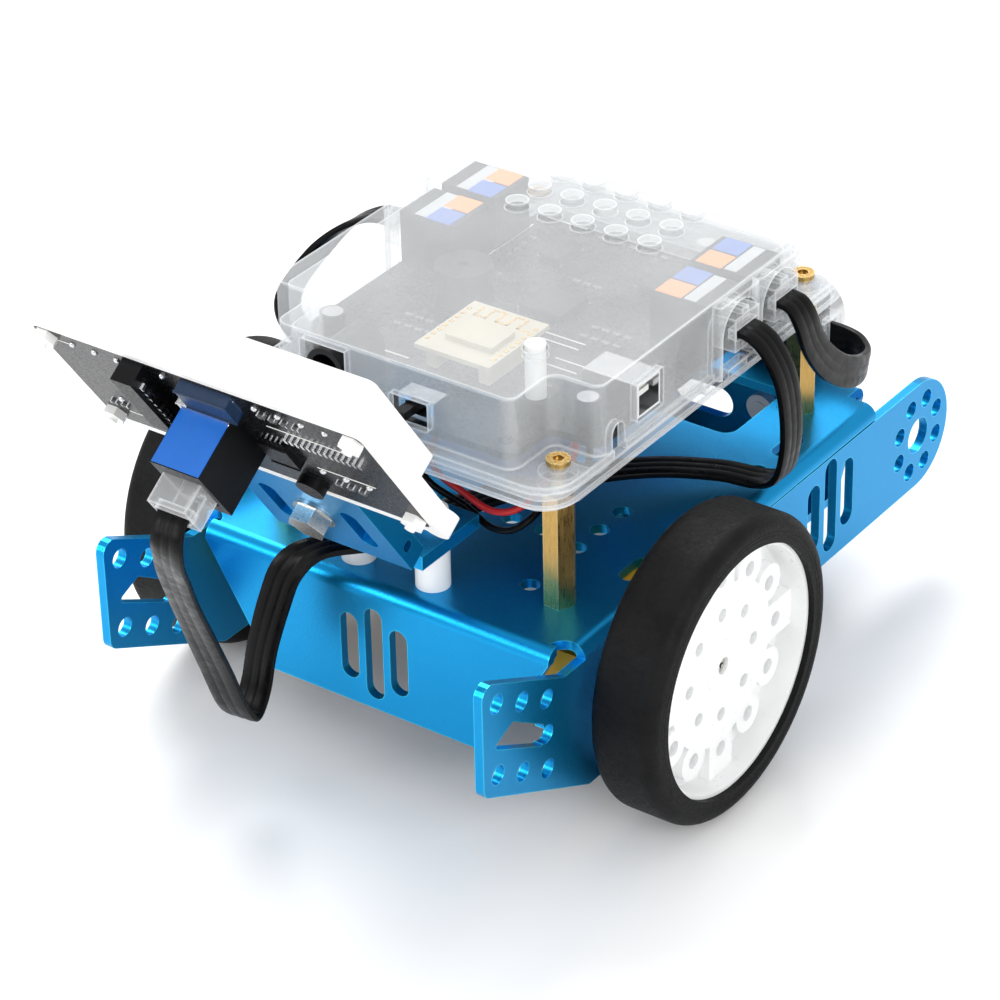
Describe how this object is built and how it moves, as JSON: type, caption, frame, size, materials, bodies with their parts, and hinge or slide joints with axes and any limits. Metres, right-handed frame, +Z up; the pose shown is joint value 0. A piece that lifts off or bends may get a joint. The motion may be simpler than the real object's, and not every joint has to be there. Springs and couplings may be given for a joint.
{
  "type": "two wheel robot car",
  "caption": "Small wheeled robot car: folded blue aluminium chassis, geared wheels, ball caster, clear controller case, LED panel, sensors and flat cables.",
  "frame": {"origin": "centre of the footprint, on the floor", "axes": "+Y is the way the car drives, +X its right side, +Z up"},
  "size_m": [0.13, 0.2031, 0.1223],
  "materials": {
    "blue_anodised": "satin anodised",
    "yellow_plastic": "moulded",
    "steel": "zinc plated",
    "bright_steel": "polished",
    "white_plastic": "moulded",
    "milky_plastic": "translucent moulded",
    "tyre": "matt rubber",
    "black_plastic": "moulded",
    "brass": "turned",
    "clear_plastic": "clear, lightly frosted",
    "black_board": "solder mask",
    "blue_board": "solder mask",
    "beige_board": "solder mask",
    "battery_wrap": "shrink wrap",
    "red_wire": "wire insulation",
    "black_cable": "flat cable jacket",
    "led_face": "diffuser face"
  },
  "bodies": {
    "car": {"chassis": "blue_anodised", "gearbox_left": "yellow_plastic", "gearbox_right": "yellow_plastic", "motor_left": "steel", "motor_right": "steel", "motor_caps": "white_plastic", "motor_terminals": "brass", "motor_screws": "steel", "motor_nuts": "steel", "caster_housing": "black_plastic", "caster_screws": "steel", "line_board": "blue_board", "line_sensors": "black_plastic", "line_socket": "black_plastic", "line_spacers": "white_plastic", "range_board": "blue_board", "range_eyes": "bright_steel", "range_socket": "black_plastic", "range_spacers": "white_plastic", "standoffs": "brass", "case_screws": "brass", "case_tray": "clear_plastic", "case_lid": "clear_plastic", "main_board": "black_board", "board_sockets": "black_plastic", "panel_plugs": "clear_plastic", "range_plugs": "clear_plastic", "line_plugs": "clear_plastic", "wireless_module": "beige_board", "usb_socket": "bright_steel", "power_jack": "black_plastic", "slide_switch_body": "bright_steel", "board_parts": "black_plastic", "battery_pack": "battery_wrap", "battery_leads": "red_wire", "panel_board": "black_board", "panel_frame": "white_plastic", "led_matrix": "led_face", "panel_socket": "black_plastic", "panel_header": "black_plastic", "panel_nuts": "white_plastic", "bracket_nuts": "black_plastic", "panel_bracket": "blue_anodised", "bracket_bolt": "steel", "bracket_spacers": "white_plastic", "panel_cable": "black_cable", "range_cable": "black_cable", "line_cable": "black_cable"},
    "wheel_left": {"wheel_left": "milky_plastic", "tyre_left": "tyre", "hub_screw_left": "steel", "shaft_left": "white_plastic"},
    "wheel_right": {"wheel_right": "milky_plastic", "tyre_right": "tyre", "hub_screw_right": "steel", "shaft_right": "white_plastic"},
    "ball": {"caster_ball": "bright_steel"},
    "switch_knob": {"slide_switch_knob": "black_plastic"},
    "button": {"reset_button": "white_plastic"}
  },
  "joints": [
    {"name": "wheel_left_spin", "type": "hinge", "parent": "car", "child": "wheel_left", "pos_m": [-0.0575, -0.01318, 0.032], "axis": [1, 0, 0], "continuous": true},
    {"name": "wheel_right_spin", "type": "hinge", "parent": "car", "child": "wheel_right", "pos_m": [0.0575, -0.01318, 0.032], "axis": [1, 0, 0], "continuous": true},
    {"name": "ball_roll", "type": "hinge", "parent": "car", "child": "ball", "pos_m": [0, 0.05682, 0.006], "axis": [1, 0, 0], "continuous": true},
    {"name": "switch_slide", "type": "slide", "parent": "car", "child": "switch_knob", "axis": [1, 0, 0], "range_m": [0, 0.0024]},
    {"name": "button_press", "type": "slide", "parent": "car", "child": "button", "axis": [0, 0, -1], "range_m": [0, 0.0005], "stiffness_N_per_m": 200}
  ]
}
